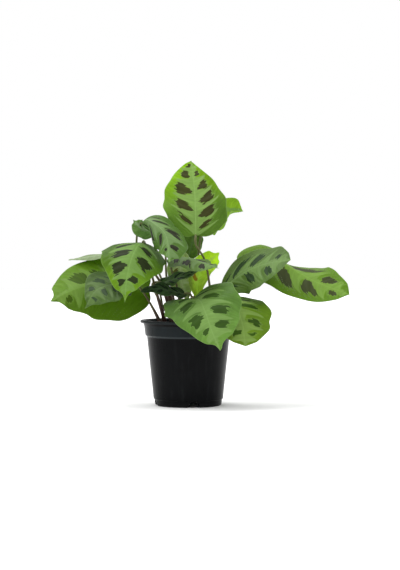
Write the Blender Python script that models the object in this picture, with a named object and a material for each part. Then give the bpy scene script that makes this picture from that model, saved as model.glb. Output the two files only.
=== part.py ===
"""A prayer plant in a black nursery pot, at its real size: pot, soil, leaf stalks and leaf blades.

Lengths in the tables are millimetres; mm() turns them into Blender's metres. In the tables the pot stands
on Z = 0 with its axis on Z, X runs to the plant's right and Y away from its front. At the end everything
is moved sideways so that the origin lies under the middle of the whole plant.
"""

import math
from dataclasses import dataclass

import bpy
import numpy as np

FIT_GAP = 0.3  # between any two solids that touch

# The pot: (radius, height) pairs down its outer side and up its inner side.
RIM_RADIUS = 52.5
POT_HEIGHT = 93.0
FLOOR_BOTTOM = 3.0
FLOOR_TOP = 4.6
POT_OUTSIDE = [
    (RIM_RADIUS - 0.8, POT_HEIGHT),
    (RIM_RADIUS, POT_HEIGHT - 0.8),
    (RIM_RADIUS, POT_HEIGHT - 2.8),
    (49.2, POT_HEIGHT - 3.2),
    (48.2, POT_HEIGHT - 6.0),
    (46.9, 76.6),
    (45.1, 75.2),
    (37.9, 7.6),
    (36.7, 6.4),
    (36.2, 1.6),
    (35.0, 0.0),
]
FOOT_INSIDE = [(32.4, 0.0), (33.4, FLOOR_BOTTOM)]
POT_INSIDE = [
    (35.1, FLOOR_TOP),
    (35.3, 6.8),
    (36.5, 8.2),
    (43.6, 74.6),
    (45.4, 76.4),
    (47.3, POT_HEIGHT - 3.0),
    (48.0, POT_HEIGHT),
]
POT_SIDES = 40

NOTCH_TURNS = [10, 100, 190, 280]  # degrees round the foot, from the front towards the right
NOTCH_BOTTOM_WIDTH = 15.0
NOTCH_TOP_WIDTH = 8.0
NOTCH_HEIGHT = 5.8
NOTCH_INNER = 26.0
NOTCH_OUTER = 45.0

SOIL_TOP = 81.0
SOIL_CROWN = 2.0
SOIL_BOTTOM_RADIUS = 34.6
SOIL_OUTSIDE = [
    (27.0, SOIL_TOP + SOIL_CROWN * 0.8),
    (45.2, SOIL_TOP),
    (44.8, 76.9),
    (43.2, 75.0),
    (36.1, 8.9),
    (34.7, 7.4),
    (SOIL_BOTTOM_RADIUS, FLOOR_TOP + FIT_GAP),
]
SOIL_SIDES = 32
SOCKET_DEPTH = 9.0
SOCKET_SLACK = 0.9
SOCKET_SIDES = 10

LEAF_THICKNESS = 0.7
LEAF_ROWS = 10
LEAF_COLUMNS = 6
STALK_POINTS = 11
STALK_GAP = 1.2  # from the end of a stalk to the blade it carries

LEAF_GREEN = (0.16, 0.33, 0.07, 1)
LEAF_BRIGHT = (0.34, 0.50, 0.04, 1)
LEAF_DARK = (0.06, 0.14, 0.05, 1)
STALK_BROWN = (0.10, 0.045, 0.03, 1)
STALK_GREEN = (0.30, 0.36, 0.08, 1)
POT_BLACK = (0.012, 0.013, 0.014, 1)
SOIL_BROWN = (0.045, 0.028, 0.018, 1)


@dataclass
class Leaf:
    """One blade and the stalk that carries it.

    spine: points along the midrib from base to tip.
    face: directions that the upper side looks in, spread evenly from base to tip.
    width: across the blade at its widest.
    shape: powers of the outline near the base, near the tip on the left and near the tip on the right.
    fold: degrees by which the (left, right) half leaves the midrib, spread evenly; positive lifts it.
    curl: degrees by which each half bends further out to its widest margin.
    wave: (height, number of waves, phase in turns) of the margin.
    root: (x, y) where the stalk leaves the soil; via: points that it passes on its way.
    """

    name: str
    spine: list
    face: list
    width: float
    root: tuple
    via: list
    shape: tuple = (0.5, 0.78, 0.78)
    fold: tuple = ((0, 0),)
    curl: tuple = ((0, 0),)
    wave: tuple = (1.5, 2, 0)
    colour: tuple = LEAF_GREEN
    stalk_radii: tuple = (1.9, 1.1)
    stalk_colour: tuple = STALK_BROWN


LEAVES = [
    Leaf(
        "top",
        spine=[(8, 2, 185), (8, 8, 206), (7, 20, 230), (3, 44, 268)],
        face=[(0, -1, 0.3), (0, -1, 0.4)],
        width=70,
        shape=(0.6, 0.95, 1.3),
        fold=((8, 8), (6, 6)),
        curl=((-14, -14),),
        wave=(1.2, 2.5, 0.2),
        root=(26, -2),
        via=[(23, 3, 132), (17, 4, 160)],
    ),
    Leaf(
        "back_right",
        spine=[(19, 24, 193), (31, 38, 206), (45, 50, 215), (62, 58, 213)],
        face=[(-0.3, -0.8, 0.3)],
        width=38,
        fold=((0, -60),),
        wave=(1.2, 3, 0.2),
        root=(5, 16),
        via=[(9, 30, 137)],
        colour=LEAF_BRIGHT,
    ),
    Leaf(
        "arching",
        spine=[(-50, 4, 193), (-44, -14, 199), (-33, -40, 191), (-24, -60, 176), (-20, -70, 159)],
        face=[(-0.4, -0.5, 0.5), (0, -0.45, 0.85), (0.3, -0.8, 0.6), (0.5, -0.8, 0.4)],
        width=62,
        shape=(0.7, 0.75, 1.6),
        fold=((0, -60),),
        curl=((-30, -30),),
        root=(-17, 6),
        via=[(-30, 16, 132), (-56, 24, 168)],
    ),
    Leaf(
        "arching_small",
        spine=[(-40, 32, 188), (-46, 28, 193), (-53, 22, 198), (-59, 14, 202)],
        face=[(-0.3, -0.8, 0.4)],
        width=24,
        fold=((-20, -20),),
        wave=(1.0, 2, 0),
        root=(-11, 12),
        via=[(-24, 28, 137)],
    ),
    Leaf(
        "front_left",
        spine=[(-50, 8, 177), (-54, -14, 175), (-60, -36, 162), (-65, -50, 140), (-67, -56, 114)],
        face=[(0, 0, 1), (0, -0.8, 0.6), (-0.1, -1, 0.3)],
        width=76,
        shape=(0.75, 0.85, 0.85),
        fold=((-34, 0), (-25, 0), (5, 5)),
        curl=((-20, -20),),
        root=(-24, -2),
        via=[(-37, -7, 132)],
    ),
    Leaf(
        "left",
        spine=[
            (-43, 8, 120),
            (-65, 2, 129),
            (-88, -4, 132),
            (-116, -12, 130),
            (-134, -18, 123),
            (-148, -24, 114),
        ],
        face=[(0, -0.85, 0.5)],
        width=82,
        shape=(0.5, 0.95, 0.9),
        fold=((-15, -15),),
        root=(-27, 5),
        via=[],
    ),
    Leaf(
        "far_left",
        spine=[(-58, 40, 167), (-83, 36, 165), (-106, 30, 162), (-132, 22, 158)],
        face=[(0, -0.07, 1)],
        width=56,
        fold=((-3, -3),),
        wave=(1.0, 2, 0),
        root=(-16, 14),
        via=[(-26, 26, 127)],
    ),
    Leaf(
        "left_inner",
        spine=[(-58, -14, 126), (-77, -26, 133), (-95, -36, 129), (-108, -42, 109)],
        face=[(0, -0.5, 0.85)],
        width=58,
        shape=(0.5, 0.9, 1.7),
        root=(-28, -10),
        via=[],
    ),
    Leaf(
        "dark_centre",
        spine=[(-4, -12, 122), (-16, -24, 125), (-33, -34, 128), (-51, -40, 125)],
        face=[(0, -0.35, 1)],
        width=44,
        root=(-2, 3),
        via=[],
        colour=LEAF_DARK,
    ),
    Leaf(
        "twisted",
        spine=[(-30, 6, 134), (-21, 3, 136), (-7, -5, 141), (14, -12, 147)],
        face=[(-0.3, -0.3, 0.9)],
        width=26,
        shape=(0.5, 1.3, 1.3),
        root=(-14, -6),
        via=[],
        colour=LEAF_DARK,
    ),
    Leaf(
        "centre_right",
        spine=[(-12, 2, 162), (-1, -12, 161), (15, -26, 156), (33, -36, 150)],
        face=[(0.1, -0.3, 0.95)],
        width=44,
        fold=((-15, -10),),
        root=(-6, 10),
        via=[(-13, 17, 130), (-19, 15, 150)],
    ),
    Leaf(
        "hanging",
        spine=[(-8, 28, 165), (-9, 23, 155), (-10, 22, 146), (-11, 24, 137)],
        face=[(0, -1, 0.1)],
        width=24,
        fold=((20, 20),),
        root=(-10, 22),
        via=[(-19, 34, 130), (-16, 39, 165)],
    ),
    Leaf(
        "back_centre",
        spine=[(0, 46, 161), (3, 44, 172), (6, 46, 186), (9, 50, 200)],
        face=[(0.2, -0.9, -0.1)],
        width=24,
        root=(-1, 29),
        via=[],
        colour=LEAF_DARK,
    ),
    Leaf(
        "young",
        spine=[(11, 18, 118), (13, 17, 132), (20, 18, 149), (34, 22, 166)],
        face=[(-0.3, -0.9, 0.2)],
        width=26,
        shape=(0.8, 0.6, 0.6),
        fold=((35, 35),),
        wave=(1.0, 2, 0),
        root=(12, 8),
        via=[],
        colour=LEAF_BRIGHT,
        stalk_colour=STALK_GREEN,
    ),
    Leaf(
        "right",
        spine=[(39, 6, 129), (56, -2, 142), (77, -14, 151), (96, -24, 158), (110, -28, 160)],
        face=[(-0.1, -0.85, 0.6), (-0.1, -0.7, 0.75), (-0.1, -0.55, 0.85)],
        width=70,
        shape=(0.7, 0.6, 0.65),
        fold=((-30, 0), (-15, 0), (-10, 0)),
        root=(20, 6),
        via=[],
    ),
    Leaf(
        "far_right",
        spine=[
            (53, 38, 156),
            (75, 36, 164),
            (99, 27, 155),
            (122, 15, 144),
            (143, 3, 135),
            (175, -10, 121),
        ],
        face=[(-0.3, -0.6, 0.8), (0.1, -0.65, 0.75), (0.1, -0.65, 0.75)],
        width=76,
        shape=(0.45, 0.5, 0.62),
        fold=((-5, 0), (-28, 0), (-30, 0), (-20, 0), (5, 0)),
        root=(23, 15),
        via=[(35, 28, 133)],
    ),
    Leaf(
        "front",
        spine=[(9, -14, 117), (15, -36, 116), (21, -56, 105), (27, -67, 85), (34, -73, 64)],
        face=[(-0.5, -0.1, 1), (-0.2, -0.7, 0.7), (0, -0.9, 0.4)],
        width=82,
        shape=(0.5, 0.65, 0.95),
        fold=((0, 24), (0, 0)),
        curl=((-10, -10),),
        root=(7, -3),
        via=[],
    ),
    Leaf(
        "lower_right",
        spine=[(42, -6, 112), (51, -24, 108), (58, -40, 92), (61, -48, 67)],
        face=[(0.3, -0.8, 0.5)],
        width=72,
        shape=(0.5, 0.6, 0.6),
        root=(26, -12),
        via=[],
    ),
]


def mm(value):
    """Millimetres as Blender's metres, for a number or an array."""
    return np.asarray(value, float) * 0.001


def unit(vectors):
    return vectors / np.linalg.norm(vectors, axis=-1, keepdims=True)


def smooth_path(points, samples):
    """A curve through the points: cubic pieces with Catmull-Rom slopes on the root of the chord lengths."""
    points = np.array(points, float)
    knots = np.concatenate([[0], np.cumsum(np.sqrt(np.linalg.norm(np.diff(points, axis=0), axis=1)))])
    slopes = np.gradient(points, knots, axis=0)
    where = np.linspace(0, knots[-1], samples)
    piece = np.clip(np.searchsorted(knots, where, side="right") - 1, 0, len(points) - 2)
    span = (knots[piece + 1] - knots[piece])[:, None]
    share = (where - knots[piece])[:, None] / span
    start, end = points[piece], points[piece + 1]
    return (
        start * (1 + 2 * share) * (1 - share) ** 2
        + end * share**2 * (3 - 2 * share)
        + slopes[piece] * span * share * (1 - share) ** 2
        - slopes[piece + 1] * span * share**2 * (1 - share)
    )


def even_path(points, samples):
    """The smooth path with its points an equal distance apart, and its length."""
    fine = smooth_path(points, 400)
    along = np.concatenate([[0], np.cumsum(np.linalg.norm(np.diff(fine, axis=0), axis=1))])
    where = np.linspace(0, along[-1], samples)
    return np.stack([np.interp(where, along, fine[:, k]) for k in range(3)], axis=1), along[-1]


def blend_along(values, t):
    """The rows of values spread evenly over 0 to 1 and read at t."""
    values = np.array(values, float)
    stops = np.linspace(0, 1, len(values))
    return np.stack([np.interp(t, stops, values[:, k]) for k in range(values.shape[1])], axis=-1)


def half_width(t, rise, fall):
    """Outline of a blade: its half width at t along the midrib as a share of the widest. It is t to the power
    rise times 1 - t to the power fall, with a short point added at the tip."""
    widest = rise / (rise + fall)
    body = (t / widest) ** rise * (np.clip(1 - t, 0, None) / (1 - widest)) ** fall
    blunt = np.clip((1 - t) / 0.05, 0, 1) ** 0.4
    point = 0.1 * np.clip((1 - t) / 0.08, 0, 1)
    return np.maximum(body * blunt, np.where(t > 0.9, point, 0))


def blade_points(leaf, t, v):
    """Points of a blade's middle surface. t runs 0 to 1 from base to tip and v from -1 at the left margin
    to 1 at the right. Each half leaves the midrib at its fold angle and bends on by its curl; behind the
    stalk the margins sweep back as two round lobes; the margin waves up and down."""
    spine, length = even_path(leaf.spine, 201)
    tangent = unit(np.gradient(spine, axis=0))
    upper = blend_along(leaf.face, np.linspace(0, 1, 201))
    normal = unit(upper - (upper * tangent).sum(1, keepdims=True) * tangent)
    side = np.cross(tangent, normal)

    swept = t - 0.075 * (t / (t + 0.015)) * (1 - t) ** 5 * np.abs(v) ** 1.5
    place = np.clip(swept, 0, 1) * 200

    def read(table):
        return np.stack([np.interp(place, np.arange(201), table[:, k]) for k in range(3)], axis=-1)

    at, along, up, across = read(spine), read(tangent), read(normal), read(side)
    at = at + along * (np.minimum(swept, 0) * length)[..., None]

    left = v < 0
    fold, curl = blend_along(leaf.fold, t), blend_along(leaf.curl, t)
    fold = np.radians(np.where(left, fold[..., 0], fold[..., 1]))
    rise, fall_left, fall_right = leaf.shape
    share = half_width(t, rise, np.where(left, fall_left, fall_right))
    bend = np.radians(np.where(left, curl[..., 0], curl[..., 1])) * share * np.abs(v) + 1e-9
    reach = leaf.width / 2 * share * np.abs(v) * np.sin(bend / 2) / (bend / 2)
    out = reach * np.cos(fold + bend / 2) * np.sign(v)
    height, count, phase = leaf.wave
    ripple = height * v**2 * np.sin(2 * np.pi * (count * t + phase + 0.3 * left)) * np.sqrt(share)
    lift = reach * np.sin(fold + bend / 2) + ripple
    return at + across * out[..., None] + up * lift[..., None]


def stalk_path(leaf):
    """The centre line of a stalk, from the bottom of its socket to just short of the blade, and its radius
    along the way. It rises straight out of the soil and arrives in line with the midrib."""
    spine, _ = even_path(leaf.spine, 201)
    heading = unit(spine[1] - spine[0])
    x, y = leaf.root
    points = [
        (x, y, SOIL_TOP + SOIL_CROWN + 1),
        *leaf.via,
        spine[0] - heading * 10,
        spine[0] - heading * STALK_GAP,
    ]
    above, _ = even_path(points, STALK_POINTS - 1)
    path = np.vstack([(x, y, SOIL_TOP - SOCKET_DEPTH + FIT_GAP), above])
    thick, thin = leaf.stalk_radii
    share = np.linspace(0, 1, STALK_POINTS)
    return path, thin + (thick - thin) * np.clip(1 - share * 1.4, 0, 1)


def plain_material(name, colour, roughness):
    material = bpy.data.materials.new(name)
    material.use_nodes = True
    shader = material.node_tree.nodes["Principled BSDF"]
    shader.inputs["Base Color"].default_value = colour
    shader.inputs["Roughness"].default_value = roughness
    return material


def add_object(name, data, colour=None, roughness=0.5):
    """A scene object made of data; one with a colour gets its own material."""
    thing = bpy.data.objects.new(name, data)
    bpy.context.collection.objects.link(thing)
    if colour:
        data.materials.append(plain_material(name, colour, roughness))
    return thing


def mesh_of(name, points, edges=(), faces=()):
    """A mesh from points in millimetres."""
    mesh = bpy.data.meshes.new(name)
    mesh.from_pydata(mm(points).tolist(), edges, faces)
    return mesh


def add_blade(leaf):
    """A grid over the blade, closed to one point at the base and one at the tip, then made solid."""
    rows = 0.5 - 0.5 * np.cos(np.pi * np.linspace(0, 1, LEAF_ROWS + 1))[1:-1]
    across = LEAF_COLUMNS + 1
    t, v = np.meshgrid(rows, np.linspace(-1, 1, across), indexing="ij")
    ends = blade_points(leaf, np.array([0.0, 1.0]), np.zeros(2))
    points = np.concatenate([blade_points(leaf, t, v).reshape(-1, 3), ends])
    base, tip = len(points) - 2, len(points) - 1
    faces = []
    for row in range(len(rows) - 1):
        for column in range(LEAF_COLUMNS):
            first = row * across + column
            faces.append((first, first + 1, first + 1 + across, first + across))
    last = (len(rows) - 1) * across
    for column in range(LEAF_COLUMNS):
        faces.append((base, column + 1, column))
        faces.append((tip, last + column, last + column + 1))
    blade = add_object("leaf_" + leaf.name, mesh_of(leaf.name, points, faces=faces), leaf.colour, 0.42)
    solidify = blade.modifiers.new("thickness", "SOLIDIFY")
    solidify.thickness = mm(LEAF_THICKNESS)
    solidify.offset = 0
    return blade


def add_stalk(leaf):
    """A round bar along the stalk's path, thicker at the soil."""
    path, radii = stalk_path(leaf)
    curve = bpy.data.curves.new("stalk_" + leaf.name, "CURVE")
    curve.dimensions = "3D"
    curve.bevel_depth = mm(1)
    curve.bevel_resolution = 1
    curve.use_fill_caps = True
    line = curve.splines.new("POLY")
    line.points.add(len(path) - 1)
    for point, place, radius in zip(line.points, mm(path), radii):
        point.co = (*place, 1)
        point.radius = radius
    return add_object(curve.name, curve, leaf.stalk_colour, 0.5)


def add_turned(name, profile, sides, colour, roughness):
    """A solid turned round Z from (radius, height) pairs that run down its outer side."""
    points = [(radius, 0, height) for radius, height in profile]
    edges = [(k, k + 1) for k in range(len(points) - 1)]
    turned = add_object(name, mesh_of(name, points, edges), colour, roughness)
    screw = turned.modifiers.new("turn", "SCREW")
    screw.steps = sides
    screw.render_steps = sides
    screw.use_merge_vertices = True
    screw.merge_threshold = mm(0.05)
    screw.use_normal_calculate = True
    return turned


def cut(target, cutter):
    cutter.hide_render = True
    cutter.display_type = "WIRE"
    boolean = target.modifiers.new("cut_" + cutter.name, "BOOLEAN")
    boolean.operation = "DIFFERENCE"
    boolean.solver = "EXACT"
    boolean.object = cutter


def add_prism(name, outline, low, high, place):
    """A straight bar: an outline of points carried from low to high, each put in place by place(point, level)."""
    count = len(outline)
    points = [place(point, level) for level in (low, high) for point in outline]
    faces = [tuple(range(count))[::-1], tuple(range(count, 2 * count))]
    for k in range(count):
        after = (k + 1) % count
        faces.append((k, after, after + count, k + count))
    return add_object(name, mesh_of(name, points, faces=faces))


def add_pot():
    """The pot, turned as one shell and cut by the drain notches round its foot."""
    profile = [*POT_OUTSIDE, *FOOT_INSIDE, (0, FLOOR_BOTTOM), (0, FLOOR_TOP), *POT_INSIDE]
    profile.append(POT_OUTSIDE[0])
    pot = add_turned("pot", profile, POT_SIDES, POT_BLACK, 0.35)
    low, high = NOTCH_BOTTOM_WIDTH / 2, NOTCH_TOP_WIDTH / 2
    outline = [(-low, -1.0), (low, -1.0), (high, NOTCH_HEIGHT), (-high, NOTCH_HEIGHT)]
    for turn in NOTCH_TURNS:
        s, c = math.sin(math.radians(turn)), math.cos(math.radians(turn))

        def place(point, radius):
            return (point[0] * c + radius * s, point[0] * s - radius * c, point[1])

        cut(pot, add_prism(f"notch_{turn}", outline, NOTCH_INNER, NOTCH_OUTER, place))
    return pot


def add_soil():
    """The root ball, slightly crowned, with a socket for each stalk."""
    profile = [(0, SOIL_TOP + SOIL_CROWN), *SOIL_OUTSIDE, (0, FLOOR_TOP + FIT_GAP)]
    soil = add_turned("soil", profile, SOIL_SIDES, SOIL_BROWN, 0.9)
    angles = np.linspace(0, 2 * np.pi, SOCKET_SIDES, endpoint=False)
    for leaf in LEAVES:
        radius = leaf.stalk_radii[0] + SOCKET_SLACK
        ring = [(radius * math.cos(a), radius * math.sin(a)) for a in angles]

        def place(point, level, root=leaf.root):
            return (root[0] + point[0], root[1] + point[1], level)

        cut(soil, add_prism("socket_" + leaf.name, ring, SOIL_TOP - SOCKET_DEPTH, SOIL_TOP + 8, place))
    return soil


def centre_over_origin(things):
    """Move everything sideways so that the middle of the visible things' bounding box is over the origin."""
    bpy.context.view_layer.update()
    graph = bpy.context.evaluated_depsgraph_get()
    corners = []
    for thing in things:
        mesh = thing.evaluated_get(graph).to_mesh()
        corners.extend(vertex.co.copy() for vertex in mesh.vertices)
    middle = [(min(c[k] for c in corners) + max(c[k] for c in corners)) / 2 for k in range(2)]
    for thing in bpy.data.objects:
        thing.location.x -= middle[0]
        thing.location.y -= middle[1]


def main():
    for thing in list(bpy.data.objects):
        bpy.data.objects.remove(thing, do_unlink=True)
    things = [add_pot(), add_soil()]
    for leaf in LEAVES:
        things.append(add_blade(leaf))
        things.append(add_stalk(leaf))
    centre_over_origin(things)


if __name__ == "__main__":
    main()
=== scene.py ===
"""A prayer plant in a black nursery pot: blades, stalks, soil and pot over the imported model.

Lengths in the tables are millimetres from the pot's axis at ground level; metres() puts them in the model's
frame. X runs to the plant's right, Y away from its front and Z up.
"""

import math
from dataclasses import dataclass

import bpy
import numpy as np
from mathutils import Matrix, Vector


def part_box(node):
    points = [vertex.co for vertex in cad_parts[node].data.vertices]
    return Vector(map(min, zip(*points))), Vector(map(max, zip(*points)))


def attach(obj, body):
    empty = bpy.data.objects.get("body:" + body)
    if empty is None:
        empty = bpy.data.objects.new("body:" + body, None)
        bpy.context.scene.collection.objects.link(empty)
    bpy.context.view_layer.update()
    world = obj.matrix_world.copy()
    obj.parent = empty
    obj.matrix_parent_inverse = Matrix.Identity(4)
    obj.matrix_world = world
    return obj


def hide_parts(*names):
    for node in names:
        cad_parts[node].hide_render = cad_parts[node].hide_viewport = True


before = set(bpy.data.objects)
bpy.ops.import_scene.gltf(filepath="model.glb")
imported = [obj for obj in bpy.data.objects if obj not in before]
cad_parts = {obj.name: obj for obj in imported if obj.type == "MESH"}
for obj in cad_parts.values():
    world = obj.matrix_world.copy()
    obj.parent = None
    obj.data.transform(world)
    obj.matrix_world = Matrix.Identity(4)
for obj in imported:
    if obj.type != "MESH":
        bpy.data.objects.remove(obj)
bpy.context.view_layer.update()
low, high = np.array(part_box("pot"))
AXIS = np.array([(low[0] + high[0]) / 2, (low[1] + high[1]) / 2, low[2]])

BLADE_ROWS = 108
BLADE_COLUMNS = 25  # on each side of the midrib
SPINE_POINTS = 201
STALK_RINGS = 44
STALK_SIDES = 14
POT_SIDES = 240
SOIL_SIDES = 96

HALF_THICKNESS = 0.14  # of a blade near its midrib
PUFF_HEIGHT = 0.85  # of the swellings between side veins, and how far apart they lie
PUFF_PITCH = 9.0
RIB_PITCH = 2.1  # from one fine side vein to the next, and from one pale line to the next
LINE_PITCH = 4.6
BLOTCH_BREADTH = 0.066  # half the breadth of a blotch of size 1, as a share of the blade's length
RAY_BREADTH = 0.04  # of the feather's rays, and how far past its band they reach
RAY_REACH = 0.66
STALK_RADIUS = 1.15
SHEATH_RADIUS = 2.3

SOIL_TOP = 81.0
SOIL_CROWN = 2.0
CRUMBS = 420
CRUMB_SIZES = (0.8, 3.2)
CRUMB_FLATNESS = 0.7
CRUMB_LATITUDES = [50, 0, -50]
CRUMB_SIDES = 6

FRONT_LIGHT = 0.75
SIDE_LIGHT = 0.8
TOP_LIGHT = 0.5
SUN_PLACE = (-450, 150, 1000)
SUN_SOFTNESS = 50
SUN_STRENGTH = 2.2

CAMERA_PLACE = (12.75, -2000, 187)
CAMERA_AIM = (12.75, 0, 131)
CAMERA_LENS = 115.93


@dataclass
class Leaf:
    """One blade and the stalk that carries it.

    spine: points along the midrib from base to tip.
    face: directions that the upper side looks in, spread evenly from base to tip.
    width: across the blade at its widest.
    root: (x, y) where the stalk leaves the soil; via: points that it passes on its way.
    shape: powers of the outline near the base, near the tip on the left and near the tip on the right.
    fold: degrees by which the (left, right) half leaves the midrib, spread evenly; positive lifts it.
    curl: degrees by which each half bends further out to its widest margin.
    wave: (height, number of waves, phase in turns) of the margin.
    lean: how far towards the tip a side vein has run when it meets the margin, as a share of what is left.
    point: length of the drip tip, as a share of the blade's length.
    marks: dark blotches on the (left, right) half, each (place where its vein leaves the midrib, size).
    green: colours of the blade (at base, at tip); sides: painted light and shade, how much lighter the (left,
    right) half is painted for how the light falls on it.
    pale: the feather along the midrib; mark: the blotches; silver: the underside.
    glow: colour of the light that comes through the blade; through: its share.
    stalk_low, stalk_high: colours of the stalk at its foot and under the blade.
    """

    name: str
    spine: list
    face: list
    width: float
    root: tuple
    via: tuple = ()
    shape: tuple = (0.5, 0.78, 0.78)
    fold: tuple = ((0, 0),)
    curl: tuple = ((0, 0),)
    wave: tuple = (2.0, 2.4, 0)
    lean: float = 0.35
    point: float = 0.06
    marks: tuple = (((0.12, 0.8), (0.34, 1), (0.58, 0.9), (0.78, 0.5)), ((0.2, 0.9), (0.44, 1), (0.68, 0.7)))
    green: tuple = ((0.12, 0.24, 0.035), (0.15, 0.29, 0.03))
    sides: tuple = (1, 1)
    pale: tuple = (0.21, 0.36, 0.09)
    mark: tuple = (0.028, 0.06, 0.012)
    silver: tuple = (0.19, 0.26, 0.12)
    glow: tuple = (0.30, 0.55, 0.04)
    through: float = 0.18
    stalk_low: tuple = (0.07, 0.028, 0.02)
    stalk_high: tuple = (0.12, 0.13, 0.035)


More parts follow.
